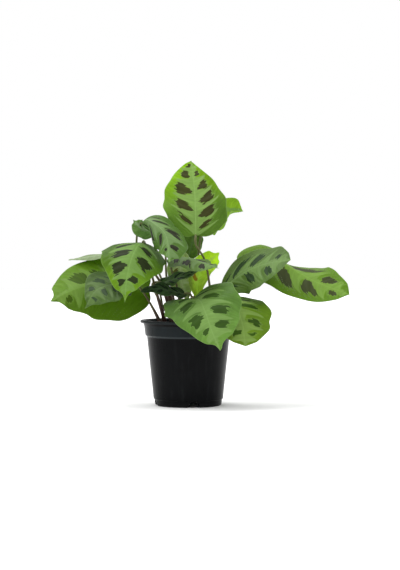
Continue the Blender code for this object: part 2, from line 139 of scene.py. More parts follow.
LEAVES = [
    Leaf(
        "top",
        spine=[(8, 2, 185), (8, 8, 206), (7, 20, 230), (3, 44, 268)],
        face=[(0, -1, 0.3), (0, -1, 0.4)],
        width=70,
        shape=(0.55, 0.75, 1.15),
        fold=((8, 8), (6, 6)),
        curl=((-14, -14),),
        wave=(1.4, 2.6, 0.2),
        point=0.03,
        root=(26, -2),
        via=[(23, 3, 132), (17, 4, 160)],
        marks=(
            ((0.13, 0.6), (0.32, 1.0), (0.56, 1.2), (0.79, 0.8), (0.93, 0.3)),
            ((0.07, 0.5), (0.22, 0.9), (0.41, 1.0), (0.6, 0.85), (0.79, 0.5)),
        ),
        mark=(0.03, 0.026, 0.006),
        green=((0.09, 0.18, 0.02), (0.2, 0.4, 0.004)),
        sides=(1.15, 0.9),
        pale=(0.21, 0.35, 0.085),
        through=0.22,
    ),
    Leaf(
        "back_right",
        spine=[(22, 26, 196), (35, 38, 207), (48, 48, 214), (61, 54, 212)],
        face=[(-0.3, -0.8, 0.3)],
        width=40,
        fold=((15, -82),),
        wave=(2, 3.4, 0.2),
        root=(5, 16),
        via=[(9, 30, 137)],
        marks=(((0.5, 0.5),), ()),
        green=((0.25, 0.43, 0.025), (0.3, 0.5, 0.03)),
        through=0.4,
    ),
    Leaf(
        "arching",
        spine=[
            (-51, 2, 198),
            (-45, -16, 202),
            (-34, -38, 196),
            (-24, -53, 186),
            (-20, -66, 170),
            (-20, -72, 157),
        ],
        face=[(-0.4, -0.5, 0.5), (0, -0.45, 0.85), (0.3, -0.8, 0.6), (0.5, -0.8, 0.4)],
        width=64,
        shape=(0.55, 0.6, 1.0),
        fold=((-10, -80), (-12, -76), (0, -66)),
        curl=((-30, -30),),
        point=0.07,
        root=(-17, 6),
        via=[(-30, 16, 132), (-56, 24, 168)],
        marks=(
            ((0.07, 0.75), (0.28, 0.85), (0.56, 1.15), (0.81, 0.55)),
            ((0.03, 0.7), (0.26, 0.8), (0.58, 0.9), (0.82, 0.35)),
        ),
        mark=(0.016, 0.013, 0.009),
        green=((0.07, 0.145, 0.028), (0.085, 0.17, 0.03)),
        pale=(0.17, 0.28, 0.1),
    ),
    Leaf(
        "arching_small",
        spine=[(-36, 14, 189), (-45, 8, 191), (-53, 2, 194), (-60, -3, 202)],
        face=[(-0.1, -0.9, 0.4)],
        width=23,
        fold=((-50, -10),),
        wave=(1.0, 2, 0),
        point=0.14,
        root=(-11, 12),
        via=[(-24, 28, 137)],
        marks=((), ((0.3, 0.8), (0.62, 0.8))),
        mark=(0.016, 0.013, 0.009),
        green=((0.15, 0.28, 0.08), (0.17, 0.3, 0.08)),
        pale=(0.3, 0.42, 0.22),
        through=0.25,
    ),
    Leaf(
        "front_left",
        spine=[(-50, 8, 177), (-54, -14, 175), (-60, -36, 162), (-65, -50, 140), (-67, -56, 114)],
        face=[(0, 0, 1), (0, -0.8, 0.6), (-0.1, -1, 0.3)],
        width=75,
        shape=(0.62, 1.1, 1.15),
        fold=((-22, 0), (-14, 0), (5, 5)),
        curl=((-20, -20),),
        point=0.13,
        root=(-24, -2),
        via=[(-37, -7, 132)],
        marks=(
            ((0.24, 0.75), (0.46, 1.2), (0.73, 0.8)),
            ((0.18, 0.7), (0.39, 1.0), (0.6, 1.05), (0.78, 0.55)),
        ),
        mark=(0.014, 0.018, 0.006),
        green=((0.06, 0.125, 0.016), (0.14, 0.28, 0.012)),
        pale=(0.18, 0.32, 0.075),
        through=0.22,
    ),
    Leaf(
        "left",
        spine=[
            (-43, 8, 127),
            (-65, 2, 130),
            (-88, -4, 131),
            (-116, -12, 129),
            (-134, -18, 122),
            (-148, -24, 114),
        ],
        face=[(0, -0.85, 0.5)],
        width=82,
        shape=(0.5, 0.72, 0.72),
        fold=((-12, -6), (-12, -22)),
        wave=(0.8, 2, 0),
        point=0.1,
        root=(-27, 5),
        marks=(((0.81, 0.5),), ((0.41, 0.9), (0.62, 1.15))),
        mark=(0.035, 0.075, 0.001),
        green=((0.11, 0.22, 0.01), (0.1, 0.19, 0.015)),
        sides=(0.75, 1.1),
        pale=(0.16, 0.27, 0.05),
        through=0.25,
    ),
    Leaf(
        "far_left",
        spine=[(-58, 40, 167), (-83, 36, 165), (-106, 30, 162), (-132, 22, 158)],
        face=[(0, -0.075, 1)],
        width=44,
        shape=(0.45, 0.45, 0.45),
        fold=((-3, -3),),
        wave=(1.0, 2, 0),
        point=0.02,
        root=(-16, 14),
        via=[(-26, 26, 127)],
        marks=((), ()),
        green=((0.2, 0.27, 0.13), (0.2, 0.27, 0.13)),
        pale=(0.28, 0.36, 0.2),
    ),
    Leaf(
        "left_inner",
        spine=[(-64, -12, 132), (-82, -26, 133), (-99, -36, 126), (-110, -42, 107)],
        face=[(0, -0.5, 0.85)],
        width=64,
        shape=(0.8, 0.9, 1.7),
        point=0.14,
        root=(-28, -10),
        marks=(
            ((0.1, 0.8), (0.32, 1), (0.55, 0.8), (0.78, 0.4)),
            ((0.2, 0.9), (0.42, 1), (0.64, 0.6)),
        ),
        mark=(0.025, 0.05, 0.018),
        green=((0.05, 0.095, 0.02), (0.06, 0.11, 0.025)),
        pale=(0.095, 0.16, 0.045),
        through=0.1,
    ),
    Leaf(
        "dark_centre",
        spine=[(-4, -12, 122), (-16, -24, 125), (-33, -34, 128), (-51, -40, 125)],
        face=[(0, -0.75, 0.7)],
        width=19,
        root=(-2, 3),
        mark=(0.006, 0.015, 0.005),
        green=((0.018, 0.042, 0.011), (0.022, 0.048, 0.013)),
        pale=(0.028, 0.055, 0.02),
        through=0.08,
    ),
    Leaf(
        "twisted",
        spine=[(-30, 6, 134), (-21, 3, 136), (-7, -5, 141), (14, -12, 147)],
        face=[(-0.2, -0.8, 0.6)],
        width=15,
        shape=(0.5, 1.3, 1.3),
        root=(-14, -6),
        mark=(0.006, 0.015, 0.005),
        green=((0.03, 0.07, 0.015), (0.036, 0.08, 0.016)),
        pale=(0.06, 0.115, 0.035),
        through=0.1,
    ),
    Leaf(
        "centre_right",
        spine=[(-12, 2, 162), (-1, -12, 161), (15, -26, 156), (33, -36, 150)],
        face=[(0.1, -0.3, 0.95)],
        width=52,
        fold=((-15, -10),),
        point=0.1,
        root=(-6, 10),
        via=[(-13, 17, 130), (-19, 15, 150)],
        marks=(
            ((0.14, 1.3), (0.46, 1.2), (0.74, 0.9)),
            ((0.1, 1.3), (0.4, 1.3), (0.7, 1.2)),
        ),
        mark=(0.02, 0.017, 0.012),
        green=((0.1, 0.18, 0.04), (0.12, 0.21, 0.05)),
        pale=(0.16, 0.26, 0.09),
    ),
    Leaf(
        "hanging",
        spine=[(-8, 28, 165), (-9, 23, 152), (-8, 21, 136), (0, 24, 114)],
        face=[(0, -1, 0.1)],
        width=30,
        shape=(0.6, 0.9, 0.9),
        fold=((15, 15),),
        root=(-10, 22),
        via=[(-19, 34, 130), (-16, 39, 165)],
        marks=(((0.5, 0.5),), ((0.35, 0.6),)),
        mark=(0.12, 0.12, 0.015),
        green=((0.35, 0.48, 0.16), (0.4, 0.52, 0.18)),
        pale=(0.49, 0.59, 0.29),
        through=0.3,
    ),
    Leaf(
        "back_centre",
        spine=[(0, 46, 161), (3, 44, 172), (6, 46, 186), (9, 50, 200)],
        face=[(0.2, -0.9, -0.1)],
        width=24,
        root=(-1, 29),
        marks=((), ()),
        green=((0.1, 0.19, 0.03), (0.05, 0.1, 0.015)),
        pale=(0.09, 0.17, 0.04),
        through=0.1,
    ),
    Leaf(
        "young",
        spine=[(10, 18, 118), (10, 17, 132), (15, 18, 148), (34, 22, 166)],
        face=[(-0.3, -0.9, 0.2)],
        width=27,
        shape=(0.8, 0.6, 0.6),
        fold=((12, 12),),
        wave=(1.0, 2, 0),
        point=0.12,
        root=(12, 8),
        marks=(((0.32, 1.1),), ()),
        mark=(0.3, 0.17, 0.01),
        green=((0.36, 0.48, 0.08), (0.62, 0.95, 0.04)),
        pale=(0.5, 0.7, 0.12),
        silver=(0.45, 0.6, 0.12),
        glow=(0.6, 0.85, 0.05),
        through=0.45,
        stalk_low=(0.16, 0.14, 0.04),
        stalk_high=(0.36, 0.42, 0.1),
    ),
    Leaf(
        "right",
        spine=[(39, 6, 129), (61, -2, 145), (82, -14, 154), (98, -23, 157.5), (110, -28, 159)],
        face=[(-0.1, -0.85, 0.6), (-0.1, -0.7, 0.75), (-0.1, -0.55, 0.85)],
        width=66,
        shape=(0.7, 0.6, 0.55),
        fold=((-14, 4), (-8, -8), (0, 0)),
        wave=(1.5, 2.4, 0),
        lean=0.45,
        root=(20, 6),
        marks=(
            ((-0.05, 0.9), (0.17, 1.15), (0.43, 1.25), (0.79, 0.6)),
            ((0.0, 0.8), (0.35, 1.1), (0.69, 1.0)),
        ),
        mark=(0.01, 0.03, 0.006),
        green=((0.07, 0.13, 0.02), (0.07, 0.13, 0.025)),
        pale=(0.115, 0.2, 0.05),
        through=0.08,
    ),
    Leaf(
        "far_right",
        spine=[
            (62, 38, 152),
            (71, 38, 163),
            (85, 34, 166),
            (99, 27, 159),
            (122, 15, 144),
            (143, 3, 133),
            (175, -10, 121),
        ],
        face=[(-0.3, -0.6, 0.8), (0.1, -0.75, 0.65), (0.1, -0.75, 0.65)],
        width=76,
        shape=(0.45, 0.62, 0.62),
        fold=((-5, 0), (-22, 0), (-60, 0), (-36, 0), (-10, 0), (-8, 0), (5, 0)),
        wave=(1.4, 2.4, 0),
        lean=0.5,
        root=(23, 15),
        via=[(50, 30, 118), (63, 40, 136)],
        marks=(((0.46, 1.4), (0.76, 1.0)), ((0.14, 1.1), (0.4, 1.35), (0.65, 1.1), (0.86, 0.55))),
        mark=(0.03, 0.036, 0.01),
        green=((0.11, 0.21, 0.008), (0.1, 0.2, 0.012)),
        pale=(0.18, 0.31, 0.05),
        through=0.25,
    ),
    Leaf(
        "front",
        spine=[(6, -14, 117), (12, -36, 116), (18, -56, 105), (25, -67, 85), (34, -73, 64)],
        face=[(-0.8, -0.1, 1), (-0.2, -0.7, 0.7), (0, -0.9, 0.4)],
        width=81,
        shape=(0.42, 0.65, 1.05),
        fold=((0, 38), (0, 4), (0, 0)),
        curl=((-10, -10),),
        point=0.12,
        root=(7, -3),
        marks=(
            ((0.04, 0.8), (0.24, 0.7), (0.49, 0.85), (0.69, 0.8)),
            ((0.02, 0.8), (0.26, 0.95), (0.55, 1.0), (0.73, 0.5)),
        ),
        mark=(0.025, 0.06, 0.007),
        green=((0.08, 0.165, 0.03), (0.13, 0.26, 0.045)),
        pale=(0.18, 0.31, 0.08),
        through=0.15,
    ),
    Leaf(
        "lower_right",
        spine=[(42, -6, 116), (51, -24, 110), (58, -40, 92), (61, -48, 67)],
        face=[(0.3, -0.8, 0.5)],
        width=72,
        shape=(0.5, 0.6, 0.6),
        root=(26, -12),
        marks=(
            ((0.05, 0.8), (0.27, 0.9), (0.59, 0.9), (0.8, 0.4)),
            ((0.1, 0.8), (0.35, 0.9), (0.6, 0.7), (0.78, 0.5)),
        ),
        mark=(0.022, 0.06, 0.002),
        green=((0.1, 0.19, 0.011), (0.125, 0.22, 0.014)),
        pale=(0.2, 0.32, 0.07),
        through=0.2,
    ),
]

# The pot's skin as (radius, height, rounding) from the middle of its underside out, up over the rim and back
# down to the middle of its floor.
POT_PROFILE = [
    (0, 5.5, 0),
    (33.4, 5.5, 0.5),
    (32.4, 0.3, 0.3),
    (33.0, 0.0, 0.2),
    (35.0, 0.0, 0.6),
    (36.2, 1.2, 0.5),
    (36.7, 6.4, 0.5),
    (37.9, 7.6, 0.6),
    (45.1, 75.2, 0.5),
    (46.9, 76.6, 0.5),
    (48.2, 87.0, 0.8),
    (49.2, 89.8, 0.4),
    (52.2, 90.2, 0.35),
    (52.5, 92.2, 0.7),
    (51.7, 93.0, 0.5),
    (48.0, 93.0, 0.7),
    (47.3, 90.0, 0.8),
    (45.4, 76.4, 0.5),
    (43.6, 74.6, 0.5),
    (36.6, 8.6, 0.5),
    (35.7, 7.1, 0.3),
    (0, 7.1, 0),
]
NOTCH_TURNS = [10, 100, 190, 280]  # degrees round the foot, from the front towards the right
NOTCH_TOP = 5.8
NOTCH_HALF_WIDTH = 7.5  # at the ground
NOTCH_SLANT = 3.5  # how far each side leans in on its way to the top
NOTCH_ROOF = [(30.0, 5.4), (34.0, 5.6), (36.2, NOTCH_TOP)]  # (radius, height) where it fades to the underside

# The soil's side as (radius, height), from its top edge down to just above the pot's floor.
SOIL_PROFILE = [(45.0, 77.5), (43.2, 75.0), (36.1, 9.2), (35.2, 7.9), (34.9, 7.5)]


def metres(points):
    """Table millimetres, measured from the pot's axis, as places in the model's frame."""
    return np.asarray(points, float) * 0.001 + AXIS


def unit(vectors):
    """The vectors at length 1."""
    return vectors / np.maximum(np.linalg.norm(vectors, axis=-1, keepdims=True), 1e-12)


def ease(x, start, end):
    """0 below start, 1 above end and a smooth S between them."""
    share = np.clip((x - start) / (end - start), 0, 1)
    return share * share * (3 - 2 * share)


def smooth_path(points, samples):
    """A curve through the points: cubic pieces with Catmull-Rom slopes on the root of the chord lengths."""
    points = np.array(points, float)
    knots = np.concatenate([[0], np.cumsum(np.sqrt(np.linalg.norm(np.diff(points, axis=0), axis=1)))])
    slopes = np.gradient(points, knots, axis=0)
    where = np.linspace(0, knots[-1], samples)
    piece = np.clip(np.searchsorted(knots, where, side="right") - 1, 0, len(points) - 2)
    span = (knots[piece + 1] - knots[piece])[:, None]
    share = (where - knots[piece])[:, None] / span
    start, end = points[piece], points[piece + 1]
    return (
        start * (1 + 2 * share) * (1 - share) ** 2
        + end * share**2 * (3 - 2 * share)
        + slopes[piece] * span * share * (1 - share) ** 2
        - slopes[piece + 1] * span * share**2 * (1 - share)
    )


def even_path(points, samples):
    """The smooth path with its points an equal distance apart, and its length."""
    fine = smooth_path(points, 400)
    along = np.concatenate([[0], np.cumsum(np.linalg.norm(np.diff(fine, axis=0), axis=1))])
    where = np.linspace(0, along[-1], samples)
    return np.stack([np.interp(where, along, fine[:, k]) for k in range(3)], axis=1), along[-1]


def blend_along(values, t):
    """The rows of values spread evenly over 0 to 1 and read at t."""
    values = np.array(values, float)
    stops = np.linspace(0, 1, len(values))
    return np.stack([np.interp(t, stops, values[:, k]) for k in range(values.shape[1])], axis=-1)


def half_width(t, rise, fall, point):
    """Outline of a blade: its half width at t along the midrib as a share of the widest. It is t to the power
    rise times 1 - t to the power fall. Over the last stretch, of length point, it draws in to a drip tip, and
    a tip longer than 0.06 is hollowed halfway along too."""
    widest = rise / (rise + fall)
    body = (t / widest) ** rise * (np.clip(1 - t, 0, None) / (1 - widest)) ** fall
    drawn = np.clip((1 - t) / point, 0, 1)
    return body * drawn**0.4 * (1 - 0.45 * (1 - drawn) * drawn * 4 * (point > 0.06))


def reach_of(leaf, t, v):
    """Distance from the midrib along the blade, negative on the left: v times the outline there, which
    swells and shrinks a little with the waves of the margin."""
    rise, fall_left, fall_right = leaf.shape
    outline = half_width(t, rise, np.where(v < 0, fall_left, fall_right), leaf.point)
    height, count, phase = leaf.wave
    wavy = 1 + 0.018 * height * np.sin(2 * np.pi * (1.6 * count * t + 1.7 * phase + 0.35 * (v < 0)))
    return leaf.width / 2 * outline * v * wavy


def blade_points(leaf, t, v):
    """Points of a blade's middle surface. t runs 0 to 1 from base to tip and v from -1 at the left margin
    to 1 at the right. Each half leaves the midrib at its fold angle and bends on by its curl; behind the
    stalk the margins sweep back as two round lobes; the margin waves up and down."""
    spine, length = even_path(leaf.spine, SPINE_POINTS)
    tangent = unit(np.gradient(spine, axis=0))
    upper = blend_along(leaf.face, np.linspace(0, 1, SPINE_POINTS))
    normal = unit(upper - (upper * tangent).sum(1, keepdims=True) * tangent)
    side = np.cross(tangent, normal)

    swept = t - 0.075 * (t / (t + 0.015)) * (1 - t) ** 5 * np.abs(v) ** 1.5
    place = np.clip(swept, 0, 1)

    def read(table):
        return blend_along(table, place)

    at, along, up, across = read(spine), read(tangent), read(normal), read(side)
    at = at + along * (np.minimum(swept, 0) * length)[..., None]

    left = v < 0
    fold, curl = blend_along(leaf.fold, t), blend_along(leaf.curl, t)
    fold = np.radians(np.where(left, fold[..., 0], fold[..., 1]))
    curl = np.radians(np.where(left, curl[..., 0], curl[..., 1]))
    flat = np.abs(reach_of(leaf, t, v))
    share = flat / (leaf.width / 2 * np.maximum(np.abs(v), 1e-9))
    bend = curl * share * np.abs(v) + 1e-9
    reach = flat * np.sin(bend / 2) / (bend / 2)
    out = reach * np.cos(fold + bend / 2) * np.sign(v)
    height, count, phase = leaf.wave
    ripple = height * v**2 * np.sin(2 * np.pi * (count * t + phase + 0.3 * left)) * np.sqrt(share)
    lift = reach * np.sin(fold + bend / 2) + ripple
    return at + across * out[..., None] + up * lift[..., None]


def vein_place(leaf, t, v):
    """Where along the midrib the side vein through (t, v) starts: side veins lean towards the tip, slowly
    at first."""
    lean = leaf.lean * np.abs(v) ** 1.5
    return (t - lean) / (1 - lean)


def mark_depth(leaf, t, v, length, seed):
    """How far inside a blotch each point is, in millimetres. A blotch lies between two side veins: its half
    breadth swells outwards as a sine, and slopes at both ends let the fraying cut deep teeth there."""
    chance = np.random.RandomState(seed)
    place = vein_place(leaf, t, v)
    depth = np.full(t.shape, -9.0)
    for half, is_here in zip(leaf.marks, (v < 0, v >= 0)):
        for start, size in half:
            inner = 0.12 + 0.03 * chance.rand()
            outer = 0.38 + 0.2 * size + 0.05 * chance.rand()
            share = (np.abs(v) - inner) / (outer - inner)
            swell = 0.3 + 0.7 * np.sin(0.62 * np.pi * np.clip(share, 0, 1) ** 0.8)
            sides = (swell * BLOTCH_BREADTH * size - np.abs(place - start)) * length
            ends = (0.5 - np.abs(share - 0.5)) * (outer - inner) * leaf.width / 2
            depth = np.where(is_here, np.maximum(depth, np.minimum(sides, 0.55 * ends)), depth)
    return depth


def feather_depth(leaf, t, v, length):
    """How far inside the pale feather each point is, in millimetres: a band along the midrib with a ray
    running out between each two blotches, each ray a bell in the vein place."""
    place = vein_place(leaf, t, v)
    band = 0.13 + 0.03 * t
    edge = band
    for half, is_here in zip(leaf.marks, (v < 0, v >= 0)):
        if not half:
            continue
        starts = np.array([start for start, size in half])
        gaps = np.concatenate([[starts[0] - 0.1], (starts[1:] + starts[:-1]) / 2, [starts[-1] + 0.09]])
        rays = sum(np.exp(-(((place - gap) / RAY_BREADTH) ** 2)) for gap in gaps)
        edge = np.where(is_here, band + RAY_REACH * np.clip(rays, 0, 1), edge)
    return (edge - np.abs(v)) * np.abs(reach_of(leaf, t, np.where(v < 0, -1.0, 1.0)))


def add_mesh(name, points, faces, fields=None):
    """A smooth piece of the plant or pot in the model's frame; fields are numbers kept at its points."""
    mesh = bpy.data.meshes.new(name)
    mesh.from_pydata(points.tolist(), [], faces)
    mesh.polygons.foreach_set("use_smooth", np.ones(len(faces), bool))
    for key, values in (fields or {}).items():
        mesh.attributes.new(key, "FLOAT", "POINT").data.foreach_set("value", values.astype(np.float32))
    mesh.update()
    piece = bpy.data.objects.new(name, mesh)
    bpy.context.collection.objects.link(piece)
    return piece


def closed_faces(rings, sides):
    """Faces of a stack of rings closed at both ends by a fan to one point: quads between rings, triangles to
    the first point, which comes after the rings, and to the last."""
    k = np.arange(sides)
    after = (k + 1) % sides
    rows = (np.arange(rings - 1) * sides)[:, None]
    quads = np.stack([rows + k, rows + after, rows + sides + after, rows + sides + k], -1)
    first, top = rings * sides, (rings - 1) * sides
    start = np.stack([np.full(sides, first), after, k], -1)
    end = np.stack([np.full(sides, first + 1), top + k, top + after], -1)
    return quads.reshape(-1, 4), start, end


def add_closed(name, rings, first, last, fields=None):
    """A closed piece from rings (rings, sides, 3) in millimetres and its two end points. If its volume comes
    out negative, every face is turned over so that all look outwards."""
    count, sides = rings.shape[:2]
    points = np.concatenate([rings.reshape(-1, 3), [first], [last]])
    quads, start, end = closed_faces(count, sides)
    corners = np.concatenate([quads[:, :3], quads[:, [0, 2, 3]], start, end])
    a, b, c = (points[corners[:, k]] for k in range(3))
    turn = -1 if (a * np.cross(b, c)).sum() < 0 else 1
    faces = [face[::turn] for group in (quads, start, end) for face in group.tolist()]
    return add_mesh(name, metres(points), faces, fields)


def add_blade(leaf, seed):
    """The blade as one closed skin. Upper and under side lie a hair from the middle surface, closer at the
    margin; between side veins the upper side puffs up as a cosine of the vein place, the midrib is a groove
    above and a round ridge below that fades towards the tip."""
    _, length = even_path(leaf.spine, SPINE_POINTS)
    t = (0.5 - 0.5 * np.cos(np.pi * np.linspace(0, 1, BLADE_ROWS + 1)))[1:-1]
    spread = np.linspace(-1, 1, 2 * BLADE_COLUMNS + 1)
    t, v = np.meshgrid(t, np.sign(spread) * np.abs(spread) ** 1.35, indexing="ij")
    middle = blade_points(leaf, t, v)
    normal = unit(np.cross(np.gradient(middle, axis=1), np.gradient(middle, axis=0)))
    reach = reach_of(leaf, t, v)
    place = vein_place(leaf, t, v)
    thin = 0.35 + 0.65 * (1 - v**2)
    puff = PUFF_HEIGHT * np.cos(2 * np.pi * place * length / PUFF_PITCH) * np.abs(v) * (1 - v**2)
    groove = -0.5 * (1 - t) ** 0.5 * np.exp(-((reach / 1.3) ** 2))
    ridge = 0.95 * (1.02 - t) * np.exp(-((reach / 0.95) ** 2))
    upper = middle + normal * (HALF_THICKNESS * thin + puff + groove)[..., None]
    under = middle - normal * (HALF_THICKNESS * thin - puff + ridge)[..., None]
    rings = np.concatenate([upper, under[:, ::-1]], axis=1)
    ends = blade_points(leaf, np.array([0.0, 1.0]), np.zeros(2))

    def around(values, under_values=None, start=0.0, end=0.0):
        """Values over the upper side and back over the under side, row by row, then at base and tip."""
        below = values if under_values is None else under_values
        return np.concatenate([np.concatenate([values, below[:, ::-1]], axis=1).ravel(), [start, end]])

    edge = (1 - np.abs(v)) * np.abs(reach_of(leaf, t, np.where(v < 0, -1.0, 1.0)))
    fields = {
        "along": around(t, start=0, end=1),
        "across": around(v),
        "reach": around(reach),
        "vein": around(place * length, start=0, end=length),
        "edge": around(edge),
        "mark": around(mark_depth(leaf, t, v, length, seed), start=-9, end=-9),
        "feather": around(feather_depth(leaf, t, v, length), start=1, end=-1),
        "under": around(np.zeros(t.shape), np.ones(t.shape)),
    }
    return add_closed("blade_" + leaf.name, rings, ends[0], ends[1], fields)


def tube_rings(path, radii, sides):
    """Rings round a path: circles across its direction, each starting at right angles to one fixed line."""
    tangent = unit(np.gradient(path, axis=0))
    side = unit(np.cross(tangent, np.array([0.0, 1.0, 0.15])))
    other = np.cross(tangent, side)
    angle = np.linspace(0, 2 * np.pi, sides, endpoint=False)
    circle = side[:, None] * np.cos(angle)[:, None] + other[:, None] * np.sin(angle)[:, None]
    return path[:, None] + circle * radii[:, None, None]


def add_stalk(leaf):
    """A stalk from inside the soil to the midrib: a sheath at its foot that narrows to a thin round stalk,
    and a slightly swollen joint under the blade."""
    spine, _ = even_path(leaf.spine, SPINE_POINTS)
    heading = unit(spine[1] - spine[0])
    x, y = leaf.root
    points = [(x, y, SOIL_TOP - 3), (x, y, SOIL_TOP + 3), *leaf.via, spine[0] - heading * 10, spine[3]]
    path, length = even_path(points, STALK_RINGS)
    s = np.linspace(0, 1, STALK_RINGS)
    from_blade = (1 - s) * length
    radius = STALK_RADIUS + (SHEATH_RADIUS - STALK_RADIUS) * (1 - ease(s, 0.05, 0.6))
    radius = radius + 0.3 * ease(from_blade, 11, 8) * ease(from_blade, 0.5, 3)
    radius = radius * (1 - 0.45 * ease(from_blade, 2.5, 0))
    rings = tube_rings(path, radius, STALK_SIDES)
    share = np.repeat(s[:, None], STALK_SIDES, axis=1)
    fields = {"along": np.concatenate([share.ravel(), [0.0, 1.0]])}
    return add_closed("petiole_" + leaf.name, rings, path[0], path[-1], fields)


def rounded(profile):
    """The profile with each inner corner replaced by a short curve: a parabola between two points that lie
    the corner's rounding away from it."""
    places = np.array([row[:2] for row in profile], float)
    points = [places[:1]]
    share = np.linspace(0, 1, 5)[:, None]
    for k in range(1, len(profile) - 1):
        corner, size = places[k], profile[k][2]
        before = corner + unit(places[k - 1] - corner) * size
        after = corner + unit(places[k + 1] - corner) * size
        points.append(before * (1 - share) ** 2 + corner * 2 * share * (1 - share) + after * share**2)
    points.append(places[-1:])
    return np.concatenate(points)


def split_long(points, step):
    """The same line with points added wherever two lie further apart than step."""
    parts = []
    for a, b in zip(points[:-1], points[1:]):
        count = max(1, int(np.ceil(np.linalg.norm(b - a) / step)))
        parts.append(a + (b - a) * np.linspace(0, 1, count, endpoint=False)[:, None])
    return np.concatenate([*parts, points[-1:]])


def add_pot():
    """The pot turned about its axis. Near each drain notch the foot is lifted to the notch's outline, a flat
    top with slanting sides, fading to the underside towards the middle."""
    profile = split_long(rounded(POT_PROFILE), 4.0)
    turn = np.linspace(0, 2 * np.pi, POT_SIDES, endpoint=False)
    radius = profile[1:-1, :1] * np.ones(POT_SIDES)
    height = profile[1:-1, 1:] * np.ones(POT_SIDES)
    # The rows on the outside, up to just below the lip; only these can be lifted.
    outer = np.arange(len(profile) - 2)[:, None] < np.argmax(profile[1:-1, 1]) - 2
    for degrees in NOTCH_TURNS:
        aside = np.abs((turn - math.radians(degrees) + np.pi) % (2 * np.pi) - np.pi) * radius
        notch = np.clip((NOTCH_HALF_WIDTH - aside) / NOTCH_SLANT, 0, 1) * NOTCH_TOP
        notch = np.minimum(notch, np.interp(radius, *zip(*NOTCH_ROOF)))
        height = np.where(outer & (height < notch), notch, height)
    x, y = radius * np.sin(turn), -radius * np.cos(turn)
    rings = np.stack([x, y, height], axis=-1)
    return add_closed("nursery_pot", rings, (0, 0, profile[0, 1]), (0, 0, profile[-1, 1]))


def soil_height(x, y):
    """Height of the soil: a low crown with a shallow gutter at the wall and lumps from crossed sine waves."""
    r = np.hypot(x, y)
    crown = SOIL_TOP + SOIL_CROWN * (1 - (r / 45.2) ** 2) - 0.7 * ease(r, 40, 45)
    lumps = np.zeros(np.shape(x))
    for k, size in enumerate((17.0, 9.0, 5.3, 3.1, 2.1)):
        a = 2 * np.pi * (x * math.cos(1.3 * k) + y * math.sin(1.3 * k)) / size
        b = 2 * np.pi * (y * math.cos(2.1 * k + 0.4) - x * math.sin(2.1 * k + 0.4)) / (size * 1.2)
        wave = np.sin(a + 2.4 * np.sin(b * 0.7) + k) * np.sin(b + 1.7 * k)
        lumps = lumps + 0.6 * (0.07 * size) ** 0.9 * wave
    return crown + lumps


def add_soil():
    """The root ball turned about the pot's axis, its top following soil_height."""
    top = np.linspace(1.2, 45.0, 40)
    sides = split_long(np.array(SOIL_PROFILE), 8.0)
    turn = np.linspace(0, 2 * np.pi, SOIL_SIDES, endpoint=False)
    radius = np.concatenate([top, sides[:, 0]])[:, None] * np.ones(SOIL_SIDES)
    x, y = radius * np.sin(turn), -radius * np.cos(turn)
    under = np.repeat(sides[:, 1:], SOIL_SIDES, axis=1)
    height = np.concatenate([soil_height(x[: len(top)], y[: len(top)]), under])
    rings = np.stack([x, y, height], axis=-1)
    return add_closed("potting_soil", rings, (0, 0, soil_height(0.0, 0.0)), (0, 0, SOIL_PROFILE[-1][1]))


def add_crumbs():
    """Loose crumbs lying on the soil, one mesh: each is a small ball of a few rings of points, stretched and
    dented by chance, turned by chance and sunk into the soil. They keep clear of the stalks."""
    chance = np.random.RandomState(4)
    stalks = np.array([leaf.root for leaf in LEAVES])
    x, y = chance.uniform(-43, 43, (2, CRUMBS * 3))
    gap = np.hypot(x[:, None] - stalks[:, 0], y[:, None] - stalks[:, 1]).min(1)
    keep = np.flatnonzero((np.hypot(x, y) < 42.5) & (gap > 3.5))[:CRUMBS]
    x, y = x[keep], y[keep]
    small, large = CRUMB_SIZES
    size = small + (large - small) * chance.rand(len(x)) ** 2.5

    latitude = np.radians(CRUMB_LATITUDES)[:, None]
    longitude = np.linspace(0, 2 * np.pi, CRUMB_SIDES, endpoint=False) + np.array([0, 0.5, 0])[:, None]
    level = np.sin(latitude) * np.ones(CRUMB_SIDES)
    rings = np.stack([np.cos(latitude) * np.cos(longitude), np.cos(latitude) * np.sin(longitude), level], -1)
    ball = np.concatenate([rings.reshape(-1, 3), [(0, 0, 1), (0, 0, -1)]])

    stretch = chance.uniform(0.55, 1.0, (len(x), 1, 3)) * (1, 1, CRUMB_FLATNESS)
    dents = 1 + 0.35 * chance.uniform(-1, 1, (len(x), len(ball), 1))
    lump = ball * dents * stretch * size[:, None, None]
    angle, tilt = chance.uniform(0, 2 * np.pi, len(x)), chance.uniform(-0.5, 0.5, len(x))
    c, s, ct, st = np.cos(angle), np.sin(angle), np.cos(tilt), np.sin(tilt)
    zero = np.zeros(len(x))
    turned = np.stack([c, -s * ct, s * st, s, c * ct, -c * st, zero, st, ct], -1).reshape(-1, 3, 3)
    lump = np.einsum("nij,nkj->nki", turned, lump)
    at = np.stack([x, y, soil_height(x, y) + 0.3 * size * CRUMB_FLATNESS], -1)

    quads, start, end = closed_faces(len(CRUMB_LATITUDES), CRUMB_SIDES)
    faces = [face[::-1] for group in (quads, start, end) for face in group.tolist()]
    firsts = range(0, len(x) * len(ball), len(ball))
    every = [[corner + first for corner in face] for first in firsts for face in faces]
    return add_mesh("soil_crumbs", metres((lump + at[:, None]).reshape(-1, 3)), every)


